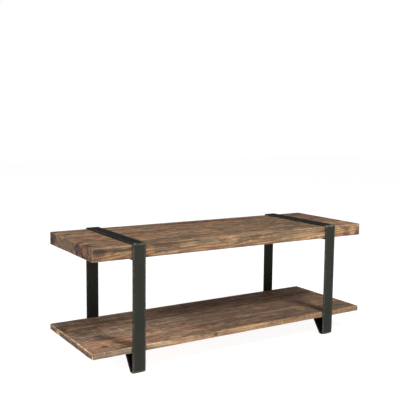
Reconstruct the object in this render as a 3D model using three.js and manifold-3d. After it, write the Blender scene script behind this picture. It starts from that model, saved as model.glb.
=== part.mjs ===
// Entryway bench: a thick plank seat and a thin plank shelf held in two closed loops of flat steel strap.
//
// Frame, in millimetres: the origin is the centre of the footprint on the floor, +X runs along the bench,
// -Y is the front and +Z is up. Each loop is bent from one strap. It crosses the seat's top, drops down the
// front and the back outside both boards, turns in along the floor as a short foot, slants up under the
// shelf and crosses below it. A flat rail between the two upright runs of each loop carries the seat.

import * as THREE from "three";
import { mergeVertices } from "three/addons/utils/BufferGeometryUtils.js";
import Module from "manifold-3d";

// ---- driving dimensions ----

const clearance = 0.3; // left between pieces that touch

const seat = { length: 1219, depth: 406, thickness: 48, top: 457, edgeEase: 1.2, cornerRadius: 3 };
const shelf = { length: 1226, depth: 412, thickness: 22, top: 99, edgeEase: 1, cornerRadius: 4 };
const planksPerBoard = 4;

const strap = { width: 50, thickness: 5, centreBendRadius: 3.5, edgeEase: 0.5, bendSteps: 6 };
const loopOffset = 438; // from the middle of the bench to the middle of each loop
const footLength = 21; // flat stretch on the floor, measured from the loop's outer face
const slantRun = 51; // how far the slanted stretch leans inwards

const glide = { length: 40, width: 11, thickness: 1.7 };
const glideSetBack = 6.5; // from the loop's outer face to the glide's outer edge

const notch = { width: 56, depth: 3 }; // clears the strap where it passes the shelf's edges

const screw = {
  threadRadius: 2.4,
  tipLength: 5,
  headRadius: 5,
  headHeight: 3,
  slotLength: 5.2,
  slotWidth: 1.1,
  slotDepth: 1.3,
  sides: 12,
};
const screwHoleSides = 12;
const seatScrewBite = 32; // length of screw inside the seat
const shelfScrewBite = 14; // length of screw inside the shelf
const shelfOuterScrewOffset = 120; // from the middle, on the level part of the strap below the shelf

// ---- worked-out dimensions ----

const halfStrap = strap.thickness / 2;
const seatUnderside = seat.top - seat.thickness;
const shelfUnderside = shelf.top - shelf.thickness;

const loopInnerHalfDepth = Math.max(seat.depth / 2, shelf.depth / 2 - notch.depth) + clearance;
const loopOuterHalfDepth = loopInnerHalfDepth + strap.thickness;
const loopCentreHalfDepth = loopInnerHalfDepth + halfStrap;
const strapTop = seat.top + clearance + strap.thickness;
const footUnderside = glide.thickness + clearance;

const plankDepth = (depth) => (depth - (planksPerBoard - 1) * clearance) / planksPerBoard;
const plankCentre = (depth, index) => (index - (planksPerBoard - 1) / 2) * (plankDepth(depth) + clearance);

const loopSides = [
  { name: "left", x: -loopOffset },
  { name: "right", x: loopOffset },
];
const footSides = [
  { name: "front", y: -1 },
  { name: "back", y: 1 },
];

// ---- materials ----

function seatWood() {
  return new THREE.MeshStandardMaterial({ color: 0x8c7258, roughness: 0.75, metalness: 0 });
}

function shelfWood() {
  return new THREE.MeshStandardMaterial({ color: 0x857060, roughness: 0.8, metalness: 0 });
}

function blackSteel() {
  return new THREE.MeshStandardMaterial({ color: 0x2b2b2a, roughness: 0.5, metalness: 0.6 });
}

function screwSteel() {
  return new THREE.MeshStandardMaterial({ color: 0x3a3a3c, roughness: 0.4, metalness: 0.9 });
}

function glidePlastic() {
  return new THREE.MeshStandardMaterial({ color: 0x1c1c1c, roughness: 0.7, metalness: 0 });
}

// ---- solids ----

const wasm = await Module();
wasm.setup();

function toSolid(geometry) {
  const bare = geometry.clone();
  bare.deleteAttribute("normal");
  bare.deleteAttribute("uv");
  const merged = mergeVertices(bare, 1e-4);
  const mesh = new wasm.Mesh({
    numProp: 3,
    vertProperties: new Float32Array(merged.attributes.position.array),
    triVerts: new Uint32Array(merged.index.array),
  });
  return new wasm.Manifold(mesh);
}

function toGeometry(solid) {
  const mesh = solid.getMesh();
  const geometry = new THREE.BufferGeometry();
  geometry.setAttribute("position", new THREE.BufferAttribute(mesh.vertProperties, 3));
  geometry.setIndex(new THREE.BufferAttribute(mesh.triVerts, 1));
  geometry.computeVertexNormals();
  return geometry;
}

function cut(geometry, cutters) {
  const solid = cutters.reduce((rest, cutter) => rest.subtract(toSolid(cutter)), toSolid(geometry));
  return toGeometry(solid);
}

function namedMesh(name, geometry, material) {
  const mesh = new THREE.Mesh(geometry, material);
  mesh.name = name;
  return mesh;
}

// A round cutter standing on the Z axis, from zBottom to zTop.
function holeCutter(radius, x, y, zBottom, zTop) {
  const cutter = new THREE.CylinderGeometry(radius, radius, zTop - zBottom, screwHoleSides);
  cutter.rotateX(Math.PI / 2);
  cutter.translate(x, y, (zBottom + zTop) / 2);
  return cutter;
}

// ---- screws ----

const screwHoleRadius = screw.threadRadius + clearance;

function screwGeometry(length) {
  const profile = [
    new THREE.Vector2(0, -screw.headHeight),
    new THREE.Vector2(screw.headRadius * 0.55, -screw.headHeight),
    new THREE.Vector2(screw.headRadius * 0.88, -screw.headHeight * 0.7),
    new THREE.Vector2(screw.headRadius, -screw.headHeight * 0.25),
    new THREE.Vector2(screw.headRadius, 0),
    new THREE.Vector2(screw.threadRadius, 0),
    new THREE.Vector2(screw.threadRadius, length - screw.tipLength),
    new THREE.Vector2(0, length),
  ];
  const body = new THREE.LatheGeometry(profile, screw.sides);
  body.rotateX(Math.PI / 2);
  const slots = [0, Math.PI / 2].map((turn) => {
    const slot = new THREE.BoxGeometry(screw.slotLength, screw.slotWidth, screw.slotDepth * 2);
    slot.rotateZ(turn);
    slot.translate(0, 0, -screw.headHeight);
    return slot;
  });
  return cut(body, slots);
}

// Depth offsets, from the middle, of the screws that hold each board to its steel.
const seatScrewRows = Array.from({ length: planksPerBoard }, (_, index) => plankCentre(seat.depth, index));
const shelfScrewRows = Array.from({ length: planksPerBoard }, (_, index) => {
  const centre = plankCentre(shelf.depth, index);
  return Math.sign(centre) * Math.min(Math.abs(centre), shelfOuterScrewOffset);
});

const railTop = seatUnderside - clearance;
const underRunTop = shelfUnderside - clearance;
const seatScrews = { top: railTop, rows: seatScrewRows, bite: seatScrewBite, underside: seatUnderside };
const shelfScrews = { top: underRunTop, rows: shelfScrewRows, bite: shelfScrewBite, underside: shelfUnderside };

function makeScrews(board, { top, rows, bite, underside }) {
  const headSeat = top - strap.thickness - clearance;
  const geometry = screwGeometry(underside + bite - headSeat);
  return loopSides.flatMap((side) =>
    rows.map((y, index) => {
      const mesh = namedMesh(`${board}_screw_${side.name}_${index + 1}`, geometry.clone(), screwSteel());
      mesh.position.set(side.x, y, headSeat);
      return mesh;
    }),
  );
}

// ---- planks ----

// Plan outline of one plank. Its outer long edge, if it has one, has rounded corners and may be notched.
function plankOutline(length, depth, outerSide, cornerRadius, notched) {
  const outline = new THREE.Shape();
  const halfLength = length / 2;
  const outer = depth / 2;
  outline.moveTo(-halfLength, -outer);
  outline.lineTo(halfLength, -outer);
  if (outerSide === 0) {
    outline.lineTo(halfLength, outer);
    outline.lineTo(-halfLength, outer);
    return outline;
  }
  outline.lineTo(halfLength, outer - cornerRadius);
  outline.absarc(halfLength - cornerRadius, outer - cornerRadius, cornerRadius, 0, Math.PI / 2);
  if (notched) {
    for (const x of [loopOffset, -loopOffset]) {
      outline.lineTo(x + notch.width / 2, outer);
      outline.lineTo(x + notch.width / 2, outer - notch.depth);
      outline.lineTo(x - notch.width / 2, outer - notch.depth);
      outline.lineTo(x - notch.width / 2, outer);
    }
  }
  outline.lineTo(-halfLength + cornerRadius, outer);
  outline.absarc(-halfLength + cornerRadius, outer - cornerRadius, cornerRadius, Math.PI / 2, Math.PI);
  outline.lineTo(-halfLength, -outer);
  return outline;
}

// The outline is drawn smaller by the ease, which the bevel gives back as a small chamfer on every edge.
function plankGeometry(board, outerSide, notched) {
  const ease = board.edgeEase;
  const outline = plankOutline(
    board.length - 2 * ease,
    plankDepth(board.depth) - 2 * ease,
    outerSide,
    board.cornerRadius,
    notched,
  );
  const geometry = new THREE.ExtrudeGeometry(outline, {
    depth: board.thickness - 2 * ease,
    bevelEnabled: true,
    bevelSize: ease,
    bevelThickness: ease,
    bevelSegments: 1,
    curveSegments: 4,
  });
  geometry.translate(0, 0, ease);
  if (outerSide < 0) {
    geometry.rotateZ(Math.PI);
  }
  return geometry;
}

function makePlanks(board, label, material, screws, notched) {
  return screws.rows.map((screwY, index) => {
    const outerSide = index === 0 ? -1 : index === planksPerBoard - 1 ? 1 : 0;
    const y = plankCentre(board.depth, index);
    const underside = board.top - board.thickness;
    const geometry = plankGeometry(board, outerSide, notched);
    geometry.translate(0, y, underside);
    const pilotTop = underside + screws.bite + 2 * clearance;
    const pilots = loopSides.map((side) =>
      holeCutter(screwHoleRadius, side.x, screwY, underside - 1, pilotTop),
    );
    return namedMesh(`${label}_plank_${index + 1}`, cut(geometry, pilots), material());
  });
}

// ---- strap loops ----

// Corners of the strap's centre line as (depth, height): down the front, across below and up the back.
function loopCorners() {
  const topZ = strapTop - halfStrap;
  const footZ = footUnderside + halfStrap;
  const underZ = underRunTop - halfStrap;
  const heelY = loopOuterHalfDepth - footLength;
  const underY = heelY - slantRun;
  const frontHalf = [
    [-loopCentreHalfDepth, topZ],
    [-loopCentreHalfDepth, footZ],
    [-heelY, footZ],
    [-underY, underZ],
  ];
  const backHalf = frontHalf.map(([y, z]) => [-y, z]).reverse();
  return [...frontHalf, ...backHalf].map(([y, z]) => new THREE.Vector2(y, z));
}

// One edge of the bent strap: the centre line with each corner turned on a round bend, moved inwards.
function loopEdge(corners, inwards) {
  const edge = [];
  corners.forEach((corner, index) => {
    const before = corners[(index + corners.length - 1) % corners.length];
    const after = corners[(index + 1) % corners.length];
    const into = corner.clone().sub(before).normalize();
    const out = after.clone().sub(corner).normalize();
    const turn = Math.atan2(into.cross(out), into.dot(out));
    const side = Math.sign(turn);
    const setBack = strap.centreBendRadius * Math.tan(Math.abs(turn) / 2);
    const start = corner.clone().addScaledVector(into, -setBack);
    const leftOfInto = new THREE.Vector2(-into.y, into.x);
    const bendCentre = start.clone().addScaledVector(leftOfInto, side * strap.centreBendRadius);
    const radius = strap.centreBendRadius - side * inwards;
    for (let step = 0; step <= strap.bendSteps; step += 1) {
      const spoke = leftOfInto.clone().multiplyScalar(-side);
      spoke.rotateAround(new THREE.Vector2(), (turn * step) / strap.bendSteps);
      edge.push(bendCentre.clone().addScaledVector(spoke, radius));
    }
  });
  return edge;
}

function loopGeometry() {
  const corners = loopCorners();
  const ease = strap.edgeEase;
  const outline = new THREE.Shape(loopEdge(corners, ease - halfStrap));
  outline.holes.push(new THREE.Path(loopEdge(corners, halfStrap - ease)));
  const geometry = new THREE.ExtrudeGeometry(outline, {
    depth: strap.width - 2 * ease,
    bevelEnabled: true,
    bevelSize: ease,
    bevelThickness: ease,
    bevelSegments: 1,
  });
  geometry.translate(0, 0, ease - strap.width / 2);
  geometry.rotateX(Math.PI / 2);
  geometry.rotateZ(Math.PI / 2);
  return geometry;
}

function makeLoops() {
  const plain = loopGeometry();
  return loopSides.map((side) => {
    const geometry = plain.clone();
    geometry.translate(side.x, 0, 0);
    const holes = shelfScrews.rows.map((y) =>
      holeCutter(screwHoleRadius, side.x, y, underRunTop - strap.thickness - 1, underRunTop + 1),
    );
    return namedMesh(`strap_loop_${side.name}`, cut(geometry, holes), blackSteel());
  });
}

// ---- seat rails ----

function makeRails() {
  const length = 2 * (loopInnerHalfDepth - clearance);
  return loopSides.map((side) => {
    const bar = new THREE.BoxGeometry(strap.width, length, strap.thickness);
    bar.translate(side.x, 0, railTop - halfStrap);
    const holes = seatScrews.rows.map((y) =>
      holeCutter(screwHoleRadius, side.x, y, railTop - strap.thickness - 1, railTop + 1),
    );
    return namedMesh(`seat_rail_${side.name}`, cut(bar, holes), blackSteel());
  });
}

// ---- floor glides ----

function makeGlides() {
  const y = loopOuterHalfDepth - glideSetBack - glide.width / 2;
  const halfLength = glide.length / 2;
  const halfWidth = glide.width / 2;
  const outline = new THREE.Shape();
  outline.absarc(halfLength - halfWidth, 0, halfWidth, -Math.PI / 2, Math.PI / 2);
  outline.absarc(halfWidth - halfLength, 0, halfWidth, Math.PI / 2, (3 * Math.PI) / 2);
  const pad = new THREE.ExtrudeGeometry(outline, {
    depth: glide.thickness,
    bevelEnabled: false,
    curveSegments: 6,
  });
  return loopSides.flatMap((side) =>
    footSides.map((end) => {
      const mesh = namedMesh(`glide_${end.name}_${side.name}`, pad.clone(), glidePlastic());
      mesh.position.set(side.x, end.y * y, 0);
      return mesh;
    }),
  );
}

// ---- assembly ----

const bench = new THREE.Group();
bench.add(
  ...makePlanks(seat, "seat", seatWood, seatScrews, false),
  ...makePlanks(shelf, "shelf", shelfWood, shelfScrews, true),
  ...makeLoops(),
  ...makeRails(),
  ...makeGlides(),
  ...makeScrews("seat", seatScrews),
  ...makeScrews("shelf", shelfScrews),
);

export default bench;
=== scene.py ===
import math

import bpy
import numpy as np
from mathutils import Matrix, Vector, noise


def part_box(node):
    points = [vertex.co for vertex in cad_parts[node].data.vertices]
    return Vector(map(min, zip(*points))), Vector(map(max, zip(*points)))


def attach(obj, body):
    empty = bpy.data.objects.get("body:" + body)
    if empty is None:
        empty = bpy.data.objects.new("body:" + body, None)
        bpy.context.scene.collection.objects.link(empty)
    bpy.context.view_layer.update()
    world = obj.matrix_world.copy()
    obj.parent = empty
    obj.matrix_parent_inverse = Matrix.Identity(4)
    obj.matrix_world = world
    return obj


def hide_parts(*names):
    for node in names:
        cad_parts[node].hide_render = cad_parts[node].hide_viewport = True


# The looks of the entryway bench, in metres, in the CAD frame: +X along the bench, -Y the front, +Z up.

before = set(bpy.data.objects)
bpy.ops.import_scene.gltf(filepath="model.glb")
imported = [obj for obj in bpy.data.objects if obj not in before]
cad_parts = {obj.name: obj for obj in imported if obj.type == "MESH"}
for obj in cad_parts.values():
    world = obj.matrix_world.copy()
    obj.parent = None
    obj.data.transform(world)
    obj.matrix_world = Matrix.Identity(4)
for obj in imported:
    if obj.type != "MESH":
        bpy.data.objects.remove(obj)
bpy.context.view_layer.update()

BODY = "root"
MM = 0.001

# ---- camera and light ----

CAMERA_PLACE = (-1.4717, -2.2709, 0.8705)
CAMERA_YAW = 33.01
CAMERA_PITCH = -6.38
CAMERA_ROLL = 0.72
CAMERA_LENS = 61.09
CAMERA_SHIFT = -0.0375
SENSOR_WIDTH = 36.0
WORLD_SEEN = 1.0
WORLD_ON_BENCH = 0.2
FLOOR_GLOW = 0.91

# ---- steel sizes that the frame's boxes don't give ----

CLEARANCE = 0.3 * MM
STRAP_THICKNESS = 5 * MM
BEND_RADIUS = 3.5 * MM
BEND_STEP = math.radians(9)
FOOT_LENGTH = 21 * MM
SLANT_RUN = 51 * MM
STRAP_EDGE_RADIUS = 0.9 * MM
STRAP_SINK = 0.12 * MM  # how far rolled bar's faces dip
RUN_STEP = 18 * MM
RUN_START = 1.5 * MM  # from a bend to the first ring of the straight run after it
RUN_END = 5 * MM  # from the last ring of a straight run to the next corner
LAST_STEP_END = 8 * MM  # how far before the next corner the even steps stop
EDGE_RUB = 0.4  # how much the paint is rubbed on the strap's long edges, against 1 for the painted highlight on its bends

WELD_MARGIN = 3 * MM
WELD_RIPPLE = 2.4 * MM
WELD_RUB = 0.35
RAIL_WELD_RADIUS = 2.1 * MM
RAIL_WELD_TUCK = 1.1 * MM  # how far the fillet's middle lies inside the strap's inner face
RAIL_WELD_DROP = 0.2 * MM
LOOP_WELD_RADIUS = 2.6 * MM
LOOP_WELD_FLATNESS = 0.32

HEAD_RADIUS = 5 * MM
HEAD_HEIGHT = 3 * MM
RECESS_DEPTH = 1.5 * MM
THREAD_PITCH = 2.2 * MM
THREAD_ROOT = 1.75 * MM
THREAD_CREST = 2.35 * MM
SCREW_TIP = 6 * MM


# ---- small mesh tools ----

def mesh_object(name, points, faces, material):
    """A smooth-shaded mesh that rides on the bench's one body."""
    mesh = bpy.data.meshes.new(name)
    mesh.from_pydata([tuple(p) for p in points], [], [tuple(f) for f in faces])
    mesh.validate()
    mesh.polygons.foreach_set("use_smooth", [True] * len(mesh.polygons))
    piece = bpy.data.objects.new(name, mesh)
    bpy.context.scene.collection.objects.link(piece)
    mesh.materials.append(material)
    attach(piece, BODY)
    return piece


def store(piece, name, values):
    """Keeps one number, or one vector, for each point of a mesh, for its material to read."""
    values = np.asarray(values, np.float32)
    kind, field = ("FLOAT", "value") if values.ndim == 1 else ("FLOAT_VECTOR", "vector")
    layer = piece.data.attributes.new(name, kind, "POINT")
    layer.data.foreach_set(field, values.ravel())


def smoothstep(low, high, value):
    share = np.clip((value - low) / (high - low), 0, 1)
    return share * share * (3 - 2 * share)


def fractal(points, scale, octaves, seed):
    """Layered noise from about -1 to 1 at each point, stretched by scale."""
    shift = Vector((seed * 13.7, seed * -7.3, seed * 3.1))
    spread = np.asarray(points) * np.asarray(scale)
    return np.array([noise.fractal(Vector(p) + shift, 1.0, 2.0, octaves) for p in spread])


def box_surface(xs, ys, zs):
    """Points and outward quads of the box surface whose grid lines are xs, ys and zs."""
    counts = (len(xs), len(ys), len(zs))
    outside = np.zeros(counts, bool)
    outside[[0, -1], :, :] = True
    outside[:, [0, -1], :] = True
    outside[:, :, [0, -1]] = True
    index = np.full(counts, -1)
    index[outside] = np.arange(outside.sum())
    i, j, k = np.nonzero(outside)
    points = np.stack([xs[i], ys[j], zs[k]], 1)
    quads = []
    for axis in range(3):
        for side in (0, -1):
            layer = np.take(index, side, axis)
            quad = np.stack([layer[:-1, :-1], layer[1:, :-1], layer[1:, 1:], layer[:-1, 1:]], -1)
            quad = quad.reshape(-1, 4)
            turned = (side == 0) != (axis == 1)
            quads.append(quad[:, ::-1] if turned else quad)
    return points, np.concatenate(quads)


def tube_faces(rings, ring_size, closed):
    """Quads between rings of points in turn. A closed run joins its last ring to its first."""
    faces = []
    for ring in range(rings if closed else rings - 1):
        here = ring * ring_size
        there = ((ring + 1) % rings) * ring_size
        for k in range(ring_size):
            after = (k + 1) % ring_size
            faces.append((here + k, here + after, there + after, there + k))
    return faces


def capped_tube(rings, ring_size):
    """The quads of an open run of rings, and one face over each of its ends."""
    last = (rings - 1) * ring_size
    faces = tube_faces(rings, ring_size, False)
    faces.append(tuple(reversed(range(ring_size))))
    faces.append(tuple(range(last, last + ring_size)))
    return faces


# ---- node trees ----

class Shader:
    """A material's node tree, with one short call for each kind of node."""

    def __init__(self, name):
        self.material = bpy.data.materials.new(name)
        self.material.use_nodes = True
        self.tree = self.material.node_tree
        self.tree.nodes.clear()

    def node(self, kind, inputs, **settings):
        made = self.tree.nodes.new(kind)
        for key, value in settings.items():
            setattr(made, key, value)
        for key, value in inputs.items():
            if isinstance(value, bpy.types.NodeSocket):
                self.tree.links.new(value, made.inputs[key])
            else:
                made.inputs[key].default_value = value
        return made

    def number(self, name):
        """The one number that store() kept for each point under this name."""
        return self.node("ShaderNodeAttribute", {}, attribute_name=name).outputs["Fac"]

    def vector(self, name):
        """The three numbers that store() kept for each point under this name."""
        return self.node("ShaderNodeAttribute", {}, attribute_name=name).outputs["Vector"]

    def place(self):
        return self.node("ShaderNodeTexCoord", {}).outputs["Object"]

    def scaled(self, vector, scale):
        made = self.node("ShaderNodeVectorMath", {0: vector, 1: scale}, operation="MULTIPLY")
        return made.outputs[0]

    def math(self, operation, a, b=0.0):
        return self.node("ShaderNodeMath", {0: a, 1: b}, operation=operation).outputs[0]

    def noise(self, vector, scale, detail, roughness, distortion=0.0):
        inputs = {"Vector": vector, "Scale": scale, "Detail": detail}
        inputs.update({"Roughness": roughness, "Distortion": distortion})
        return self.node("ShaderNodeTexNoise", inputs).outputs["Fac"]

    def span(self, value, low, high, to_low=0.0, to_high=1.0):
        """Smooth step of value from low to high, given out from to_low to to_high."""
        inputs = {"Value": value, "From Min": low, "From Max": high, "To Min": to_low, "To Max": to_high}
        made = self.node("ShaderNodeMapRange", inputs, interpolation_type="SMOOTHSTEP")
        return made.outputs["Result"]

    def mix(self, share, a, b, blend="MIX"):
        made = self.node("ShaderNodeMix", {0: share, 6: a, 7: b}, data_type="RGBA", blend_type=blend)
        return made.outputs[2]

    def bump(self, height, strength, distance):
        made = self.node("ShaderNodeBump", {"Height": height, "Strength": strength, "Distance": distance})
        return made.outputs["Normal"]

    def finish(self, **sockets):
        inputs = {key.replace("_", " "): value for key, value in sockets.items()}
        surface = self.node("ShaderNodeBsdfPrincipled", inputs)
        self.node("ShaderNodeOutputMaterial", {"Surface": surface.outputs[0]})
        return self.material


def rgb(red, green, blue):
    """A colour given in screen values from 0 to 255, as the linear values that nodes take."""
    shares = [channel / 255 for channel in (red, green, blue)]
    linear = [c / 12.92 if c <= 0.04045 else ((c + 0.055) / 1.055) ** 2.4 for c in shares]
    return (*linear, 1.0)


# ---- materials ----

def wood_material(
    name, early, late, pale, dark_streak, red, rust, grey, warm, dark, worn, knot_heart, knot_rim, sawn,
):
    """Old softwood, cut from a log: year rings, fibres and stains all follow the plank's own grain."""
    s = Shader(name)
    grain = s.vector("grain")
    tint = s.node("ShaderNodeSeparateXYZ", {0: s.vector("tint")})
    fibre = s.noise(s.scaled(grain, (16, 520, 520)), 1.0, 4.0, 0.6)
    streak = s.noise(s.scaled(grain, (2.4, 75, 75)), 1.0, 4.0, 0.6)
    line = s.noise(s.scaled(grain, (3.5, 230, 230)), 1.0, 3.0, 0.6)
    broad = s.noise(s.scaled(grain, (1.3, 17, 17)), 1.0, 3.0, 0.55)
    stain = s.noise(s.scaled(grain, (2.1, 11, 13)), 1.0, 4.0, 0.65, 0.6)
    patch = s.noise(s.scaled(grain, (9, 26, 31)), 1.0, 3.0, 0.6)
    fleck = s.noise(s.scaled(grain, (22, 60, 60)), 1.0, 3.0, 0.65)

    saw = s.noise(s.scaled(grain, (260, 9, 9)), 1.0, 2.0, 0.5, 0.3)
    saw_marks = s.math("MULTIPLY", saw, s.span(broad, 0.62, 0.44))

    ring = s.math("ADD", s.number("ring"), s.math("MULTIPLY", streak, 0.7))
    phase = s.math("FRACT", s.math("ADD", ring, s.math("MULTIPLY", fibre, 0.22)))
    rise = s.span(phase, 0.30, 0.90)
    fall = s.span(phase, 0.92, 1.0, 1.0, 0.0)
    latewood = s.math("MULTIPLY", rise, fall)

    colour = s.mix(s.math("MULTIPLY", latewood, 0.9), early, late)
    colour = s.mix(s.span(streak, 0.47, 0.38, 0.0, 0.7), colour, pale)
    colour = s.mix(s.span(broad, 0.47, 0.58, 0.0, 0.75), colour, red)
    colour = s.mix(s.span(stain, 0.50, 0.60, 0.0, 0.8), colour, grey)
    colour = s.mix(s.span(patch, 0.56, 0.64, 0.0, 0.45), colour, rust)
    colour = s.mix(s.span(patch, 0.43, 0.36, 0.0, 0.55), colour, grey)
    colour = s.mix(s.span(fleck, 0.53, 0.60, 0.0, 0.65), colour, dark_streak)
    colour = s.mix(s.span(fleck, 0.45, 0.38, 0.0, 0.6), colour, pale)
    colour = s.mix(s.math("MULTIPLY", tint.outputs[1], s.span(patch, 0.6, 0.4, 0.4, 1.0)), colour, grey)
    colour = s.mix(s.span(streak, 0.53, 0.63, 0.0, 0.8), colour, dark_streak)
    colour = s.mix(s.span(line, 0.57, 0.66, 0.0, 0.6), colour, dark_streak)
    colour = s.mix(s.math("MULTIPLY", tint.outputs[2], s.span(streak, 0.35, 0.55, 0.6, 1.0)), colour, dark)

    knot = s.math("MULTIPLY", s.number("knot"), s.span(fleck, 0.35, 0.62, 0.72, 1.3))
    rim = s.math("MULTIPLY", s.span(knot, 0.18, 0.42), s.span(knot, 0.5, 0.85, 1.0, 0.25))
    heart = s.mix(s.math("MULTIPLY", latewood, 0.6), knot_heart, knot_rim)
    colour = s.mix(s.span(knot, 0.40, 0.62, 0.0, 0.9), colour, heart)
    colour = s.mix(s.math("MULTIPLY", rim, 0.8), colour, knot_rim)

    end = s.number("end_grain")
    end_rings = s.mix(latewood, (0.92, 0.88, 0.84, 1), (0.38, 0.33, 0.29, 1))
    colour = s.mix(end, colour, s.mix(1.0, colour, end_rings, "MULTIPLY"))
    warm_share = s.math("MULTIPLY", tint.outputs[0], s.span(patch, 0.3, 0.55, 0.4, 1.0))
    warm_grain = s.mix(s.math("MULTIPLY", latewood, 0.8), warm, late)
    colour = s.mix(warm_share, colour, warm_grain)
    pores = s.mix(1.0, colour, (0.5, 0.44, 0.39, 1), "MULTIPLY")
    colour = s.mix(s.span(fibre, 0.36, 0.62, 0.55, 0.0), colour, pores)
    wear = s.math("MULTIPLY", s.number("edge"), s.span(patch, 0.36, 0.58, 0.0, 0.75))
    colour = s.mix(wear, colour, worn)
    # Scales the colour along the plank; on the shelf this tone is painted light.
    tone_and_painted_light = s.node("ShaderNodeCombineXYZ", {0: s.number("tone_and_painted_light"), 1: s.number("tone_and_painted_light"), 2: s.number("tone_and_painted_light")})
    colour = s.mix(1.0, colour, tone_and_painted_light.outputs[0], "MULTIPLY")

    colour = s.mix(s.math("MULTIPLY", s.span(saw_marks, 0.30, 0.46), sawn), colour, dark_streak)
    relief = s.math("ADD", s.math("MULTIPLY", fibre, 0.8), s.math("MULTIPLY", latewood, 0.45))
    relief = s.math("ADD", relief, s.math("MULTIPLY", saw_marks, 0.4))
    roughness = s.span(streak, 0.3, 0.7, 0.58, 0.78)
    return s.finish(
        Base_Color=colour,
        Roughness=roughness,
        Specular_IOR_Level=0.3,
        Normal=s.bump(relief, 0.55, 0.5 * MM),
    )


def seat_wood():
    return wood_material(
        "seat_wood",
        early=rgb(164, 130, 98),
        late=rgb(108, 78, 54),
        pale=rgb(186, 152, 116),
        dark_streak=rgb(76, 54, 40),
        red=rgb(126, 84, 60),
        rust=rgb(160, 108, 68),
        grey=rgb(110, 99, 79),
        warm=rgb(190, 148, 102),
        dark=rgb(44, 27, 18),
        worn=rgb(184, 150, 112),
        knot_heart=rgb(206, 132, 78),
        knot_rim=rgb(40, 26, 20),
        sawn=0.2,
    )


def shelf_wood():
    return wood_material(
        "shelf_wood",
        early=rgb(142, 115, 91),
        late=rgb(96, 73, 56),
        pale=rgb(158, 132, 106),
        dark_streak=rgb(74, 56, 44),
        red=rgb(112, 79, 59),
        rust=rgb(138, 96, 64),
        grey=rgb(100, 89, 74),
        warm=rgb(198, 158, 112),
        dark=rgb(46, 32, 24),
        worn=rgb(196, 166, 134),
        knot_heart=rgb(96, 46, 32),
        knot_rim=rgb(40, 26, 20),
        sawn=0.5,
    )


def black_steel():
    """Satin black paint on rolled bar, rubbed at its long edges. Its bends carry a painted highlight, and
    all but its upright runs are painted near black as painted shade.
    """
    s = Shader("black_steel")
    place = s.place()
    cloud = s.noise(place, 9.0, 4.0, 0.6)
    rub = s.noise(place, 70.0, 4.0, 0.65)
    peel = s.noise(place, 900.0, 2.0, 0.5)
    speck = s.noise(place, 260.0, 2.0, 0.5)
    upright_paint = s.mix(s.span(cloud, 0.35, 0.65), rgb(41, 41, 36), rgb(45, 45, 40))
    # Painted shade: the top, feet and slanted runs get near-black paint, and the upright runs keep the grey
    # paint colour.
    colour = s.mix(s.number("upright_vs_painted_shade"), rgb(11, 11, 10), upright_paint)
    colour = s.mix(s.span(rub, 0.58, 0.75, 0.0, 0.35), colour, rgb(44, 43, 39))
    # Light edge colour: rubbed paint on the long edges and welds, and a painted highlight along the bends.
    rub_and_painted_highlight = s.math("MULTIPLY", s.number("edge"), s.span(rub, 0.4, 0.6, 0.1, 0.7))
    colour = s.mix(rub_and_painted_highlight, colour, rgb(112, 109, 102))
    colour = s.mix(s.span(speck, 0.66, 0.72, 0.0, 0.5), colour, rgb(20, 20, 20))
    relief = s.math("ADD", peel, s.math("MULTIPLY", rub, 0.5))
    return s.finish(
        Base_Color=colour,
        Roughness=s.span(rub, 0.3, 0.7, 0.40, 0.56),
        Specular_IOR_Level=0.07,
        Normal=s.bump(relief, 0.3, 0.12 * MM),
    )


def screw_steel():
    """Blackened steel with fine turning marks and rubbed high spots."""
    s = Shader("screw_steel")
    place = s.place()
    marks = s.noise(s.scaled(place, (1500, 1500, 300)), 1.0, 2.0, 0.5)
    rub = s.noise(place, 350.0, 3.0, 0.6)
    colour = s.mix(s.span(rub, 0.4, 0.65), rgb(58, 58, 62), rgb(104, 102, 100))
    return s.finish(
        Base_Color=colour,
        Metallic=0.9,
        Roughness=s.span(rub, 0.3, 0.7, 0.3, 0.5),
        Normal=s.bump(marks, 0.25, 0.05 * MM),
    )


def glide_plastic():
    """Black moulded plastic, dull and scuffed where it meets the floor."""
    s = Shader("glide_plastic")
    place = s.place()
    grit = s.noise(place, 1400.0, 3.0, 0.6)
    scuff = s.noise(s.scaled(place, (90, 420, 420)), 1.0, 3.0, 0.6)
    colour = s.mix(s.span(scuff, 0.5, 0.7, 0.0, 0.6), rgb(30, 30, 30), rgb(62, 60, 58))
    return s.finish(
        Base_Color=colour,
        Roughness=s.span(scuff, 0.3, 0.7, 0.55, 0.8),
        Normal=s.bump(grit, 0.4, 0.08 * MM),
    )


def seam_glue():
    """Old glue and dust at the bottom of the seams."""
    s = Shader("seam_glue")
    dust = s.noise(s.scaled(s.place(), (60, 400, 400)), 1.0, 4.0, 0.6)
    return s.finish(
        Base_Color=s.mix(s.span(dust, 0.4, 0.65), rgb(38, 27, 19), rgb(74, 58, 43)),
        Roughness=s.span(dust, 0.3, 0.7, 0.7, 0.95),
        Normal=s.bump(dust, 0.4, 0.2 * MM),
    )


SEAT_WOOD = seat_wood()
SHELF_WOOD = shelf_wood()
BLACK_STEEL = black_steel()
SCREW_STEEL = screw_steel()
GLIDE_PLASTIC = glide_plastic()
SEAM_GLUE = seam_glue()
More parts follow.
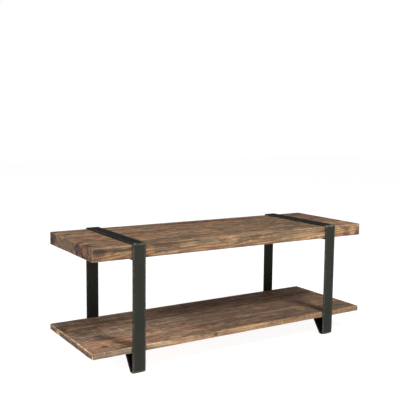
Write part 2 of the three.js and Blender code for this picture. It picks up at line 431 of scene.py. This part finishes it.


# ---- planks ----

# One entry for each plank, front to back. pith is the middle of its tree, off the plank's own middle, in
# millimetres in depth and height. lean is how far the pith drifts over the plank's length, and ring is the
# width of a year. tone scales how light the wood is along the plank; on the shelf it is painted light.
# Places are shares of the plank's box, and reaches are in millimetres along each axis. A knot is a place
# and a reach.
# A stain is a channel, a place, a reach and a strength.
WARM, GREY, DARK = 0, 1, 2
THROUGH = 90  # a reach that takes a knot right through a plank
SEAT_PLANKS = [
    dict(
        pith=(34, -58), lean=(-26, 30), ring=6.2, tone_and_painted_light=(0.80, 0.98, 1.12, 1.18, 1.15),
        knots=[
            ((0.0, 0.62, 0.56), (30, 34, 27)),
            ((0.79, 0.30, 1.0), (8, 6, THROUGH)),
        ],
        stains=[
            (DARK, (0.00, 0.78, 0.42), (14, 10, 40), 0.55),
            (WARM, (0.085, 0.0, 0.30), (90, 6, 9), 0.5),
            (WARM, (0.178, 0.0, 0.45), (20, 7, 20), 0.7),
            (WARM, (0.33, 0.0, 0.28), (80, 6, 14), 0.65),
            (WARM, (0.50, 0.0, 0.26), (240, 6, 10), 0.3),
            (WARM, (0.905, 0.0, 0.55), (34, 7, 15), 0.6),
            (WARM, (0.965, 0.0, 0.45), (20, 8, 24), 0.7),
            (WARM, (0.74, 0.0, 0.40), (150, 6, 16), 0.6),
            (GREY, (0.00, 0.02, 0.95), (46, 14, 15), 0.95),
            (GREY, (0.24, 0.0, 0.80), (110, 8, 15), 0.95),
            (GREY, (0.40, 0.0, 0.72), (90, 8, 14), 0.8),
            (GREY, (0.60, 0.0, 0.85), (150, 8, 16), 0.85),
            (GREY, (0.72, 0.0, 0.60), (110, 8, 24), 0.6),
            (DARK, (0.02, 0.0, 0.62), (34, 6, 16), 0.7),
            (GREY, (0.10, 0.0, 0.75), (75, 6, 13), 0.9),
            (DARK, (0.125, 0.0, 0.10), (70, 8, 8), 0.5),
            (DARK, (0.00, 0.10, 0.10), (26, 18, 12), 0.65),
            (DARK, (0.22, 0.05, 1.0), (90, 7, 7), 0.7),
            (DARK, (0.66, 0.10, 1.0), (80, 7, 7), 0.75),
            (DARK, (0.45, 0.0, 0.04), (560, 6, 5), 0.6),
        ],
    ),
    dict(
        pith=(-20, 78), lean=(20, 14), ring=4.2, tone_and_painted_light=(1.02, 1.10, 1.06, 0.98, 0.80),
        knots=[((0.194, 0.85, 1.0), (9, 6, THROUGH))],
        stains=[
            (DARK, (0.00, 0.24, 0.50), (16, 30, 36), 1.0),
            (GREY, (0.00, 0.85, 0.50), (14, 24, 30), 0.8),
            (GREY, (0.62, 0.4, 1.0), (210, 16, 10), 0.55),
            (DARK, (0.36, 0.3, 1.0), (240, 5, 10), 0.5),
            (DARK, (0.74, 0.55, 1.0), (160, 5, 10), 0.4),
        ],
    ),
    dict(
        pith=(12, -92), lean=(-34, 10), ring=3.4, tone_and_painted_light=(1.12, 1.14, 1.04, 0.94, 0.78),
        knots=[((0.47, 0.4, 1.0), (7, 5, THROUGH))],
        stains=[
            (GREY, (0.00, 0.5, 0.55), (16, 60, 30), 0.85),
            (GREY, (0.30, 0.7, 1.0), (260, 18, 10), 0.55),
            (DARK, (0.52, 0.15, 1.0), (300, 5, 10), 0.5),
        ],
    ),
    dict(
        pith=(-30, 60), lean=(18, -22), ring=3.8, tone_and_painted_light=(1.00, 1.00, 0.96, 0.90, 0.76),
        knots=[((0.66, 0.55, 1.0), (10, 7, THROUGH))],
        stains=[
            (DARK, (0.00, 0.80, 0.55), (16, 46, 40), 1.0),
            (DARK, (0.55, 0.5, 1.0), (380, 12, 10), 0.45),
            (GREY, (0.35, 0.1, 1.0), (160, 12, 10), 0.5),
            (GREY, (0.06, 0.5, 1.0), (60, 30, 10), 0.4),
        ],
    ),
]
# The shelf's tone numbers are painted light: lighter at the left end and towards the right end of the back
# planks, where light reaches in under the seat.
SHELF_PLANKS = [
    dict(
        pith=(-26, 44), lean=(22, -16), ring=3.9, tone_and_painted_light=(2.10, 2.00, 1.18, 1.12, 1.10),
        knots=[
            ((0.404, 0.0, 0.60), (9, 13, 9)),
            ((0.11, 0.13, 1.0), (20, 6, THROUGH)),
            ((0.058, 0.53, 1.0), (12, 6, THROUGH)),
        ],
        stains=[
            (DARK, (0.0, 0.5, 0.22), (8, 80, 11), 0.85),
            (WARM, (0.72, 0.0, 0.60), (370, 9, 20), 1.0),
            (WARM, (0.30, 0.0, 0.45), (150, 4, 9), 0.35),
            (GREY, (0.10, 0.0, 0.5), (170, 12, 20), 0.95),
            (DARK, (0.10, 0.0, 0.0), (170, 8, 4), 0.6),
            (DARK, (0.404, 0.06, 1.0), (34, 10, 10), 0.45),
            (DARK, (0.11, 0.13, 1.0), (60, 5, 8), 0.6),
            (DARK, (0.06, 0.55, 1.0), (45, 5, 10), 0.5),
        ],
    ),
    dict(
        pith=(18, -64), lean=(-16, 20), ring=3.1, tone_and_painted_light=(2.30, 2.20, 1.18, 1.12, 1.15),
        knots=[((0.36, 0.5, 1.0), (7, 5, THROUGH))],
        stains=[
            (DARK, (0.0, 0.5, 0.22), (8, 80, 11), 0.85),
            (WARM, (0.975, 0.05, 1.0), (22, 24, 10), 0.5),
            (GREY, (0.50, 0.5, 1.0), (420, 34, 10), 0.55),
            (DARK, (0.088, 0.31, 1.0), (46, 4, 10), 0.9),
            (DARK, (0.70, 0.9, 1.0), (200, 6, 10), 0.4),
        ],
    ),
    dict(
        pith=(-14, 52), lean=(30, 12), ring=3.5, tone_and_painted_light=(2.40, 2.25, 1.20, 1.35, 1.45),
        knots=[((0.83, 0.6, 1.0), (8, 6, THROUGH)), ((0.012, 0.9, 1.0), (9, 9, THROUGH))],
        stains=[
            (DARK, (0.0, 0.5, 0.22), (8, 80, 11), 0.85),
            (DARK, (0.088, 0.6, 1.0), (38, 6, 10), 0.8),
            (DARK, (0.82, 0.5, 1.0), (150, 10, 10), 0.5),
            (GREY, (0.25, 0.4, 1.0), (220, 26, 10), 0.5),
        ],
    ),
    dict(
        pith=(24, -70), lean=(-20, -14), ring=3.3, tone_and_painted_light=(2.30, 2.10, 1.25, 1.75, 1.85),
        knots=[((0.825, 0.33, 1.0), (16, 8, THROUGH)), ((0.565, 0.12, 1.0), (9, 6, THROUGH))],
        stains=[
            (DARK, (0.0, 0.5, 0.22), (8, 80, 11), 0.85),
            (WARM, (0.0, 0.16, 0.4), (9, 26, 14), 0.95),
            (DARK, (0.012, 0.0, 1.0), (26, 16, 10), 0.7),
            (DARK, (0.565, 0.12, 1.0), (60, 8, 10), 0.6),
            (DARK, (0.70, 0.3, 1.0), (170, 10, 10), 0.5),
        ],
    ),
]

SIDES = ("left", "right")
ENDS = {"front": -1, "back": 1}

PLANK_STEP = np.array([5.0, 4.0, 4.0]) * MM
ROUNDING_SHARES = (0.0, 0.2, 0.45, 0.75, 1.0)
NOTCH_WIDTH = 56 * MM
NOTCH_DEPTH = 3 * MM
NOTCH_FADE = 20 * MM  # how far in from the long edge the grid gives way to a notch
SEAM_EDGE_RADIUS = 0.45 * MM
LEAST_RADIUS = 0.3 * MM
KNOCKS = 16  # on each plank
DEEPEST_KNOCK = 1.0 * MM
SWAY = 0.45 * MM  # how deep a face's wide hollows are
RIPPLE = 0.12 * MM  # how deep its fine hollows are

TONE_PLACES = (0.0, 0.2, 0.45, 0.75, 1.0)  # shares of a plank's length where its tone is given
KNOT_BULGE = np.array([3.4, 1.7, 1.7])  # how much further than a knot its bent year rings reach
KNOT_RINGS = 3.2  # how many year rings a knot pushes the grain aside by
CROOK = 9 * MM  # how far the pith wanders

SEAM_SET_BACK = 2.6 * MM
SEAM_HALF_WIDTH = 1.0 * MM
SEAM_UNEVENNESS = 0.7 * MM

# left_end_wear is how much more the edges are rubbed at a board's left end than along the rest of it.
BOARDS = {
    "seat": dict(
        kinds=SEAT_PLANKS, material=SEAT_WOOD, notch_depth=0.0, rounding=3.0 * MM, left_end_wear=0.1,
    ),
    "shelf": dict(
        kinds=SHELF_PLANKS, material=SHELF_WOOD, notch_depth=NOTCH_DEPTH, rounding=2.4 * MM,
        left_end_wear=1.0,
    ),
}


def loop_centre(side):
    low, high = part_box(f"strap_loop_{side}")
    return (low.x + high.x) / 2


LOOP_CENTRES = [loop_centre(side) for side in SIDES]


def plank_lines(low, high, rounding, step, extra=()):
    """Grid lines across a plank, closer together where its edges are rounded and at the extra places."""
    near = [low + rounding * share for share in ROUNDING_SHARES]
    far = [high - rounding * share for share in ROUNDING_SHARES]
    inner_low, inner_high = near[-1], far[-1]
    count = max(2, round((inner_high - inner_low) / step))
    middle = np.linspace(inner_low, inner_high, count + 1)
    return np.unique(np.round(np.concatenate([near, middle, far, list(extra)]), 7))


def notch_lines():
    """Lengthwise places of the notches' sides, each as a pair of lines close together."""
    half_step = 0.25 * MM
    sides = [x + side * NOTCH_WIDTH / 2 for x in LOOP_CENTRES for side in (-1, 1)]
    return [x + nudge for x in sides for nudge in (-half_step, half_step)]


def knocks(points, low, high, random):
    """Depth of shallow knocks scattered over a plank, most of them on its top."""
    depth = np.zeros(len(points))
    for _ in range(KNOCKS):
        centre = random.uniform(low, high)
        centre[2] = high[2] if random.random() < 0.7 else centre[2]
        radius = random.uniform(5, 13) * MM * np.array([random.uniform(1, 3), 1, 1])
        away = np.linalg.norm((points - centre) / radius, axis=1)
        depth += random.uniform(0.25, 0.8) * MM * np.exp(-away * away * 2)
    return np.minimum(depth, DEEPEST_KNOCK)


def plank_grid(low, high, rounding, outer_side, notch_depth):
    """The plank before wear: its points, its quads, and where the outer long edge is for each point."""
    notches = notch_lines() if notch_depth else []
    lines = [
        plank_lines(low[axis], high[axis], rounding, PLANK_STEP[axis], notches if axis == 0 else ())
        for axis in range(3)
    ]
    points, quads = box_surface(*lines)
    outer_y = low[1] if outer_side < 0 else high[1]
    if not notch_depth:
        return points, quads, np.full(len(points), outer_y)
    in_notch = np.zeros(len(points), bool)
    for centre in LOOP_CENTRES:
        in_notch |= np.abs(points[:, 0] - centre) < NOTCH_WIDTH / 2
    nearness = 1 - np.abs(points[:, 1] - outer_y) / NOTCH_FADE
    points[:, 1] -= outer_side * in_notch * notch_depth * np.clip(nearness, 0, 1)
    return points, quads, np.where(in_notch, outer_y - outer_side * notch_depth, outer_y)


def worn_points(flat, low, high, edge_y, outer_side, rounding, seed):
    """The plank's points with rounded edges and uneven faces, and each one's outward direction."""
    count = len(flat)
    y_low = edge_y if outer_side < 0 else np.full(count, low[1])
    y_high = edge_y if outer_side > 0 else np.full(count, high[1])
    box_low = np.stack([np.full(count, low[0]), y_low, np.full(count, low[2])], 1)
    box_high = np.stack([np.full(count, high[0]), y_high, np.full(count, high[2])], 1)

    # Edges are rounded more on the board's outside than at the seams, and more in some places than others.
    wear = 0.5 + 0.5 * fractal(flat, (14, 9, 9), 3, seed)
    outside = (flat[:, 1] - (low[1] + high[1]) / 2) * outer_side > 0
    radius = np.stack([
        rounding * (0.45 + 0.5 * wear),
        np.where(outside, rounding * (0.35 + 0.6 * wear), SEAM_EDGE_RADIUS),
        rounding * (0.35 + 0.55 * wear),
    ], 1).clip(LEAST_RADIUS, rounding)
    core = np.clip(flat, box_low + radius, box_high - radius)
    outward = (flat - core) / radius
    outward /= np.linalg.norm(outward, axis=1)[:, None]
    rounded = core + outward * radius

    sway = (0.5 + 0.5 * fractal(rounded, (5, 16, 16), 3, seed + 3)).clip(0, 1) * SWAY
    ripple = (0.5 + 0.5 * fractal(rounded, (30, 160, 160), 2, seed + 5)).clip(0, 1) * RIPPLE
    inset = sway + ripple + knocks(rounded, low, high, np.random.RandomState(seed))
    return rounded - outward * inset[:, None], outward


def store_tree(piece, points, low, high, kind, seed):
    """Keeps each point's place in its tree: its grain, year ring, knots and stains, and its tone, which on
    the shelf is painted light.
    """
    size = high - low
    middle = (low + high) / 2
    along = (points[:, 0] - middle[0]) / size[0]
    log = points - middle
    log[:, 1] -= (kind["pith"][0] + kind["lean"][0] * along) * MM
    log[:, 2] -= (kind["pith"][1] + kind["lean"][1] * along) * MM
    bend = np.stack([fractal(points, (3.2, 6, 6), 3, seed + shift) for shift in (7, 9)], 1)
    ring = np.linalg.norm(log[:, 1:] + bend * CROOK, axis=1) / (kind["ring"] * MM)
    knot = np.zeros(len(points))
    for share, reach in kind["knots"]:
        away = (points - (low + size * np.array(share))) / (np.array(reach) * MM)
        ring += KNOT_RINGS * np.exp(-((away / KNOT_BULGE) ** 2).sum(1))
        knot = np.maximum(knot, np.exp(-(away ** 2).sum(1)))
    stain = np.zeros((len(points), 3))
    for channel, share, reach, strength in kind["stains"]:
        away = np.linalg.norm((points - (low + size * np.array(share))) / (np.array(reach) * MM), axis=1)
        stain[:, channel] = np.maximum(stain[:, channel], strength * smoothstep(1.25, 0.45, away))
    store(piece, "grain", log + np.array([3.7, 0.9, 1.7]) * seed)
    store(piece, "ring", ring)
    store(piece, "knot", knot)
    store(piece, "tint", stain)
    # How light the wood is along the plank; on the shelf this is painted light.
    store(piece, "tone_and_painted_light", np.interp(along + 0.5, TONE_PLACES, kind["tone_and_painted_light"]))


def store_wear(piece, points, low, high, edge_y, outer_side, rounding, left_end_wear):
    """Keeps how near each point is to a rubbed edge. An edge is where two faces are both close."""
    end_distance = np.minimum(points[:, 0] - low[0], high[0] - points[:, 0])
    top_distance = np.minimum(points[:, 2] - low[2], high[2] - points[:, 2])
    side_distance = np.abs(points[:, 1] - edge_y) if outer_side else np.full(len(points), 1.0)
    apart = np.sort(np.stack([end_distance, top_distance, side_distance], 1), axis=1)
    edge = smoothstep(rounding * 1.3, 0, apart[:, 1])
    left_end = smoothstep(6 * MM, 2 * MM, points[:, 0] - low[0])
    store(piece, "edge", edge * (0.8 + left_end_wear * left_end))


def make_plank(board, number, kind, material, outer_side, notch_depth, rounding, left_end_wear):
    """A plank with worn, uneven edges and faces, and the marks of its tree kept for its material."""
    node = f"{board}_plank_{number}"
    low, high = (np.array(corner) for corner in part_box(node))
    seed = number + (0 if board == "seat" else 10)
    flat, quads, edge_y = plank_grid(low, high, rounding, outer_side, notch_depth)
    points, outward = worn_points(flat, low, high, edge_y, outer_side, rounding, seed)
    piece = mesh_object(f"{node}_worn", points, quads, material)
    store_tree(piece, points, low, high, kind, seed)
    store_wear(piece, points, low, high, edge_y, outer_side, rounding, left_end_wear)
    store(piece, "end_grain", smoothstep(0.5, 0.8, np.abs(outward[:, 0])))
    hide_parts(node)


def make_planks():
    for board, settings in BOARDS.items():
        kinds = settings["kinds"]
        outer_sides = {1: -1, len(kinds): 1}
        for number, kind in enumerate(kinds, 1):
            outer_side = outer_sides.get(number, 0)
            notch_depth = settings["notch_depth"] if outer_side else 0
            make_plank(
                board, number, kind, settings["material"], outer_side, notch_depth,
                settings["rounding"], settings["left_end_wear"],
            )


def make_seams():
    """A ribbon of glue in each seam between planks, uneven along its top and bottom."""
    for board, settings in BOARDS.items():
        for number in range(1, len(settings["kinds"])):
            low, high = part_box(f"{board}_plank_{number}")
            seam_y = high.y + CLEARANCE / 2
            xs = np.linspace(low.x + SEAM_SET_BACK, high.x - SEAM_SET_BACK, 240)
            ys = np.array([seam_y - SEAM_HALF_WIDTH, seam_y, seam_y + SEAM_HALF_WIDTH])
            zs = np.linspace(low.z + SEAM_SET_BACK, high.z - SEAM_SET_BACK, 5)
            points, quads = box_surface(xs, ys, zs)
            from_middle = (points[:, 2] - (low.z + high.z) / 2) / (high.z - low.z) * 2
            points[:, 2] += from_middle * fractal(points, (60, 60, 60), 3, number) * SEAM_UNEVENNESS
            mesh_object(f"{board}_seam_{number}_glue", points, quads, SEAM_GLUE)


# ---- steel ----

def strap_section(width):
    """Outline of flat bar with rounded edges, as (across, through) points, and 1 for those on an edge."""
    corner_steps, face_steps = 4, 6
    half_width = width / 2 - STRAP_EDGE_RADIUS
    half_through = STRAP_THICKNESS / 2 - STRAP_EDGE_RADIUS
    outline, nearness = [], []
    for corner, (sx, sy) in enumerate(((1, 1), (-1, 1), (-1, -1), (1, -1))):
        for step in range(corner_steps + 1):
            angle = math.pi / 2 * (corner + step / corner_steps)
            x = sx * half_width + STRAP_EDGE_RADIUS * math.cos(angle)
            y = sy * half_through + STRAP_EDGE_RADIUS * math.sin(angle)
            outline.append((x, y))
            nearness.append(1.0)
        if corner % 2 == 0:
            for step in range(1, face_steps):
                x = sx * half_width * (1 - 2 * step / face_steps)
                outline.append((x, sy * STRAP_THICKNESS / 2))
                nearness.append(0.0)
    return np.array(outline), np.array(nearness)


def loop_corners(node):
    """The strap's centre line before it is bent, as sharp corners in depth and height."""
    low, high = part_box(node)
    shelf_low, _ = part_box("shelf_plank_1")
    half = STRAP_THICKNESS / 2
    upright = high.y - half
    top, foot = high.z - half, low.z + half
    under = shelf_low.z - CLEARANCE - half
    heel = high.y - FOOT_LENGTH
    front = [(-upright, top), (-upright, foot), (-heel, foot), (-(heel - SLANT_RUN), under)]
    return [Vector(p) for p in front + [(-y, z) for y, z in reversed(front)]]


def loop_path(node):
    """The strap's centre line in depth and height: points, outward directions, and 1 where it bends."""
    corners = loop_corners(node)
    places, outwards, bends = [], [], []
    for index, corner in enumerate(corners):
        following = corners[(index + 1) % len(corners)]
        into = (corner - corners[index - 1]).normalized()
        out = (following - corner).normalized()
        turn = math.atan2(into.x * out.y - into.y * out.x, into.dot(out))
        set_back = BEND_RADIUS * math.tan(abs(turn) / 2)
        right = Vector((into.y, -into.x))
        side = math.copysign(1, turn)
        centre = corner - into * set_back - right * side * BEND_RADIUS
        steps = max(5, round(abs(turn) / BEND_STEP))
        for step in range(steps + 1):
            angle = turn * step / steps
            spoke = Vector((
                right.x * math.cos(angle) - right.y * math.sin(angle),
                right.x * math.sin(angle) + right.y * math.cos(angle),
            ))
            places.append(centre + spoke * side * BEND_RADIUS)
            outwards.append(spoke)
            bends.append(1.0)
        # Points along the straight run that follows, so that it can be slightly uneven.
        run = (following - corner).length
        stops = np.arange(RUN_STEP, run - LAST_STEP_END, RUN_STEP)
        for distance in (set_back + RUN_START, *stops, run - RUN_END):
            places.append(corner + out * distance)
            outwards.append(Vector((out.y, -out.x)))
            bends.append(0.0)
    return places, outwards, bends


def make_loop(side):
    """The closed loop of strap: rolled bar that is never quite flat, rubbed at its edges, with a painted
    highlight on its bends and painted shade on all but its upright runs.
    """
    node = f"strap_loop_{side}"
    low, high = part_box(node)
    centre_x = (low.x + high.x) / 2
    section, nearness = strap_section(high.x - low.x)
    places, outwards, bends = loop_path(node)
    points, normals = [], []
    for place, outward in zip(places, outwards):
        for u, v in section:
            face = math.copysign(1, v)
            points.append((centre_x + u, place.x + outward.x * v, place.y + outward.y * v))
            normals.append((0, outward.x * face, outward.y * face))
    points = np.array(points)
    sink = (0.5 + 0.5 * fractal(points, (9, 9, 9), 2, 31)).clip(0, 1) * STRAP_SINK
    points -= np.array(normals) * sink[:, None]
    faces = tube_faces(len(places), len(section), True)
    piece = mesh_object(f"{node}_bar", points, faces, BLACK_STEEL)
    rubbed_edges = np.tile(nearness, len(places)) * EDGE_RUB
    # The bends take the full light edge colour, a painted highlight along each bend.
    store(piece, "edge", np.maximum(rubbed_edges, np.repeat(bends, len(section))))
    # All but the upright runs are painted near black in the material, as painted shade.
    upright = smoothstep(0.85, 0.99, np.array([abs(outward.x) for outward in outwards]))
    store(piece, "upright_vs_painted_shade", np.repeat(upright, len(section)))
    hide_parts(node)


def make_rail(side):
    """A straight flat bar under the seat, with its sawn ends eased."""
    node = f"seat_rail_{side}"
    low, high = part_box(node)
    section, nearness = strap_section(high.x - low.x)
    centre_x, centre_z = (low.x + high.x) / 2, (low.z + high.z) / 2
    half_width, half_through = (high.x - low.x) / 2, STRAP_THICKNESS / 2
    end_insets = [(0.0, 0.6), (0.15, 0.25), (0.5, 0.0)]
    stations = [(low.y + along * MM, inset * MM) for along, inset in end_insets]
    stations += [(y, 0.0) for y in np.linspace(low.y + 10 * MM, high.y - 10 * MM, 24)]
    stations += [(high.y - along * MM, inset * MM) for along, inset in reversed(end_insets)]
    points = []
    for y, inset in stations:
        shrink_x = (half_width - inset) / half_width
        shrink_z = (half_through - inset) / half_through
        points += [(centre_x + u * shrink_x, y, centre_z + v * shrink_z) for u, v in section]
    faces = [tuple(reversed(face)) for face in capped_tube(len(stations), len(section))]
    piece = mesh_object(f"{node}_bar", points, faces, BLACK_STEEL)
    store(piece, "edge", np.tile(nearness, len(stations)) * EDGE_RUB)
    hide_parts(node)


def make_bead(name, start, length, radius, flatness=1.0):
    """A rippled weld bead that runs from its start along the bench's length."""
    rings, around = 72, 14
    points = []
    for ring in range(rings):
        share = ring / (rings - 1)
        end_round = math.sqrt(max(0.02, 1 - abs(2 * share - 1) ** 14))
        wave = 0.86 + 0.14 * abs(math.sin(math.pi * length * share / WELD_RIPPLE))
        r = radius * end_round * wave
        for k in range(around):
            angle = 2 * math.pi * k / around
            up = r * math.sin(angle) * flatness
            points.append((start[0] + length * share, start[1] + r * math.cos(angle), start[2] + up))
    piece = mesh_object(name, points, capped_tube(rings, around), BLACK_STEEL)
    store(piece, "edge", np.full(len(points), WELD_RUB))


def make_welds(side):
    """Fillets under both ends of the seat rail, and the seam that closes the strap below the shelf."""
    low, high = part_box(f"seat_rail_{side}")
    shelf_low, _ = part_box("shelf_plank_1")
    start_x = low.x + WELD_MARGIN
    length = high.x - WELD_MARGIN - start_x
    for end, sign in ENDS.items():
        corner_y = sign * (high.y + CLEARANCE - RAIL_WELD_TUCK)
        start = (start_x, corner_y, low.z - RAIL_WELD_DROP)
        make_bead(f"rail_weld_{end}_{side}", start, length, RAIL_WELD_RADIUS)
    start = (start_x, 0.0, shelf_low.z - CLEARANCE - STRAP_THICKNESS)
    make_bead(f"loop_weld_{side}", start, length, LOOP_WELD_RADIUS, LOOP_WELD_FLATNESS)


def head_rings(around):
    """Rings of a pan head from its middle outwards, below z = 0, with a cross recess."""
    rings = []
    for share in (0.001, 0.08, 0.16, 0.24, 0.32, 0.4, 0.48, 0.56, 0.66, 0.76, 0.86, 0.94, 0.985, 1.0):
        dome = HEAD_HEIGHT * (1 - share ** 3.2) ** 0.55
        ring = []
        for k in range(around):
            angle = 2 * math.pi * k / around
            x, y = (HEAD_RADIUS * share * f(angle) for f in (math.cos, math.sin))
            arm = min(abs(x), abs(y))
            reach = max(abs(x), abs(y))
            cross = float(smoothstep(0.95 * MM, 0.45 * MM, arm) * smoothstep(2.9 * MM, 2.1 * MM, reach))
            ring.append((x, y, -dome + cross * RECESS_DEPTH))
        rings.append(ring)
    return rings


def shank_rings(length, around):
    """Rings of a threaded, pointed shank from z = 0 upwards, plain just under its head."""
    rings = []
    for z in np.linspace(0.0, length, int(length / THREAD_PITCH * 5)):
        taper = min(1.0, (length - z) / SCREW_TIP + 0.04)
        starts = float(smoothstep(1.5 * MM, 4 * MM, z))
        ring = []
        for k in range(around):
            angle = 2 * math.pi * k / around
            phase = (z / THREAD_PITCH - angle / (2 * math.pi)) % 1.0
            ridge = max(0.0, 1 - abs(phase - 0.5) * 5)
            r = (THREAD_ROOT + (THREAD_CREST - THREAD_ROOT) * ridge * starts) * taper
            ring.append((r * math.cos(angle), r * math.sin(angle), z))
        rings.append(ring)
    return rings


def make_screws():
    """Every screw is one threaded shape, given a turn of its own."""
    around = 48
    for board in BOARDS:
        node_low, node_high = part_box(f"{board}_screw_left_1")
        rings = head_rings(around) + shank_rings(node_high.z - node_low.z - HEAD_HEIGHT, around)
        local = [point for ring in rings for point in ring]
        faces = capped_tube(len(rings), around)
        for side in SIDES:
            for number in range(1, 5):
                node = f"{board}_screw_{side}_{number}"
                low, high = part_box(node)
                x, y, z = (low.x + high.x) / 2, (low.y + high.y) / 2, low.z + HEAD_HEIGHT
                turn = 0.9 * number + (1.7 if side == "left" else 0.4)
                c, s = math.cos(turn), math.sin(turn)
                points = [(x + px * c - py * s, y + px * s + py * c, z + pz) for px, py, pz in local]
                piece = mesh_object(f"{node}_threaded", points, faces, SCREW_STEEL)
                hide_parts(node)


def make_glide(end, side):
    """A long rounded pad with a soft lower edge. Each level is a share of its height and an inset."""
    node = f"glide_{end}_{side}"
    low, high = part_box(node)
    middle = (low + high) / 2
    radius = (high.y - low.y) / 2
    straight = (high.x - low.x) / 2 - radius
    height = high.z - low.z
    levels = [(0.0, 0.7), (0.06, 0.4), (0.2, 0.12), (0.4, 0.0), (0.85, 0.0), (1.0, 0.12)]
    around = 56
    points = []
    for share, inset in levels:
        r = radius - inset * MM
        for k in range(around):
            angle = 2 * math.pi * k / around
            x = math.copysign(straight, math.cos(angle)) + r * math.cos(angle)
            points.append((middle.x + x, middle.y + r * math.sin(angle), low.z + height * share))
    faces = capped_tube(len(levels), around)
    piece = mesh_object(f"{node}_pad", points, faces, GLIDE_PLASTIC)
    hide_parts(node)


# ---- stage ----

def make_floor():
    """A white floor that is clear from below, so that the bench's underside can be seen."""
    half, height, count = 12.0, -0.2 * MM, 25
    steps = np.linspace(-half, half, count)
    points = [(x, y, height) for x in steps for y in steps]
    faces = [
        (i * count + j, (i + 1) * count + j, (i + 1) * count + j + 1, i * count + j + 1)
        for i in range(count - 1)
        for j in range(count - 1)
    ]
    s = Shader("floor")
    mottle = s.noise(s.place(), 3.0, 3.0, 0.5)
    colour = s.mix(mottle, (0.33, 0.33, 0.33, 1), (0.36, 0.36, 0.36, 1))
    top = s.node("ShaderNodeBsdfPrincipled", {
        "Base Color": colour,
        "Roughness": 0.9,
        "Specular IOR Level": 0.1,
        "Emission Color": (1, 1, 1, 1),
        "Emission Strength": FLOOR_GLOW,
    })
    clear = s.node("ShaderNodeBsdfTransparent", {})
    from_below = s.node("ShaderNodeNewGeometry", {}).outputs["Backfacing"]
    surface = s.node("ShaderNodeMixShader", {0: from_below, 1: top.outputs[0], 2: clear.outputs[0]})
    s.node("ShaderNodeOutputMaterial", {"Surface": surface.outputs[0]})
    mesh = bpy.data.meshes.new("floor")
    mesh.from_pydata(points, [], faces)
    mesh.materials.append(s.material)
    floor = bpy.data.objects.new("floor", mesh)
    bpy.context.scene.collection.objects.link(floor)


def area_light(name, place, target, size, power):
    data = bpy.data.lights.new(name, "AREA")
    data.shape = "RECTANGLE"
    data.size, data.size_y = size
    data.energy = power
    light = bpy.data.objects.new(name, data)
    light.location = place
    light.rotation_euler = (Vector(target) - Vector(place)).to_track_quat("-Z", "Y").to_euler()
    bpy.context.scene.collection.objects.link(light)


def make_world():
    """White where the camera sees past the floor, and a dim even light on the bench."""
    world = bpy.data.worlds.new("studio")
    world.use_nodes = True
    tree = world.node_tree
    tree.nodes.clear()
    path = tree.nodes.new("ShaderNodeLightPath")
    either = tree.nodes.new("ShaderNodeMixShader")
    output = tree.nodes.new("ShaderNodeOutputWorld")
    tree.links.new(path.outputs["Is Camera Ray"], either.inputs[0])
    for slot, strength in ((1, WORLD_ON_BENCH), (2, WORLD_SEEN)):
        background = tree.nodes.new("ShaderNodeBackground")
        background.inputs["Color"].default_value = (1.0, 1.0, 1.0, 1.0)
        background.inputs["Strength"].default_value = strength
        tree.links.new(background.outputs[0], either.inputs[slot])
    tree.links.new(either.outputs[0], output.inputs["Surface"])
    bpy.context.scene.world = world


def make_lights():
    middle = (0.0, 0.0, 0.3)
    area_light("key", (0.60, -2.5, 3.35), middle, (0.9, 0.8), 150)
    area_light("fill", (-3.4, -1.5, 1.9), middle, (2.0, 1.6), 75)
    area_light("back", (-0.6, 3.2, 2.4), middle, (2.5, 1.2), 9)


def make_camera():
    yaw, pitch, roll = (math.radians(a) for a in (CAMERA_YAW, CAMERA_PITCH, CAMERA_ROLL))
    forward = Vector((math.sin(yaw) * math.cos(pitch), math.cos(yaw) * math.cos(pitch), math.sin(pitch)))
    level = Vector((math.cos(yaw), -math.sin(yaw), 0))
    upright = level.cross(forward)
    right = level * math.cos(roll) + upright * math.sin(roll)
    up = upright * math.cos(roll) - level * math.sin(roll)
    data = bpy.data.cameras.new("camera")
    data.lens = CAMERA_LENS
    data.sensor_width = SENSOR_WIDTH
    data.shift_x = CAMERA_SHIFT
    camera = bpy.data.objects.new("camera", data)
    turned = Matrix((right, up, -forward)).transposed().to_4x4()
    camera.matrix_world = Matrix.Translation(CAMERA_PLACE) @ turned
    bpy.context.scene.collection.objects.link(camera)
    bpy.context.scene.camera = camera


make_camera()
make_planks()
make_seams()
for side in SIDES:
    make_loop(side)
    make_rail(side)
    make_welds(side)
    for end in ENDS:
        make_glide(end, side)
make_screws()
make_floor()
make_world()
make_lights()
bpy.context.scene.view_settings.view_transform = "Standard"

bpy.context.view_layer.update()
